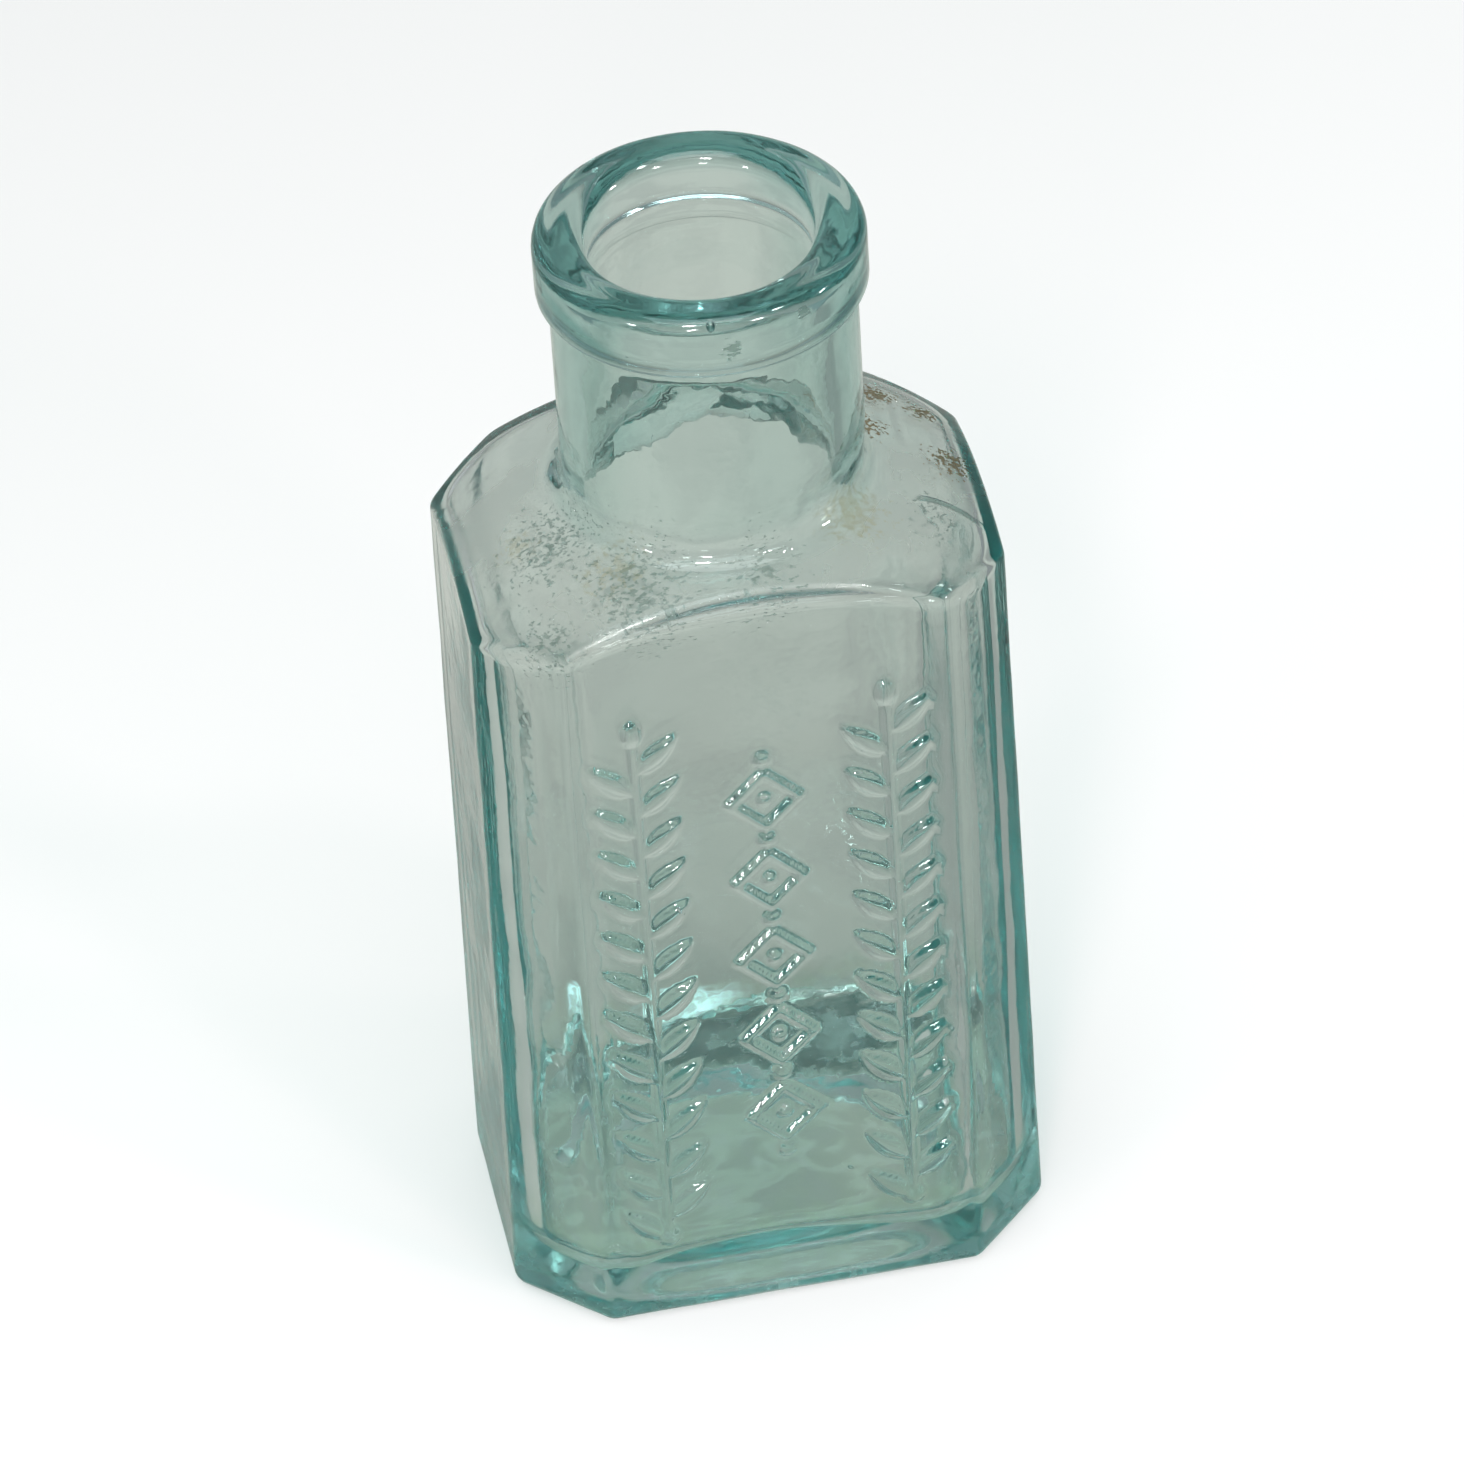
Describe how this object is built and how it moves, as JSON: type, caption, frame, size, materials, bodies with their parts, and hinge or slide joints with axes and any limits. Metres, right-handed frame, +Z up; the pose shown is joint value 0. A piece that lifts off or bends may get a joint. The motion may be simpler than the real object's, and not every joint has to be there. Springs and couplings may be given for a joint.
{
  "type": "glass bottle",
  "caption": "Small mould-blown aqua glass bottle with bevelled corners, a domed shoulder, a short wide neck and a tooled lip that takes a cork.",
  "frame": {"origin": "on the bottle's axis at the height of the resting ring", "axes": "+Z up along the bottle's axis, -Y out of the wide front panel, X across the width"},
  "size_m": [0.054, 0.0388, 0.121],
  "materials": {
    "aqua_glass": "clear blue-green, uneven blown surface with small bubbles and light weathering"
  },
  "bodies": {
    "root": {"blown_body": "aqua_glass", "applied_lip": "aqua_glass"}
  },
  "joints": []
}
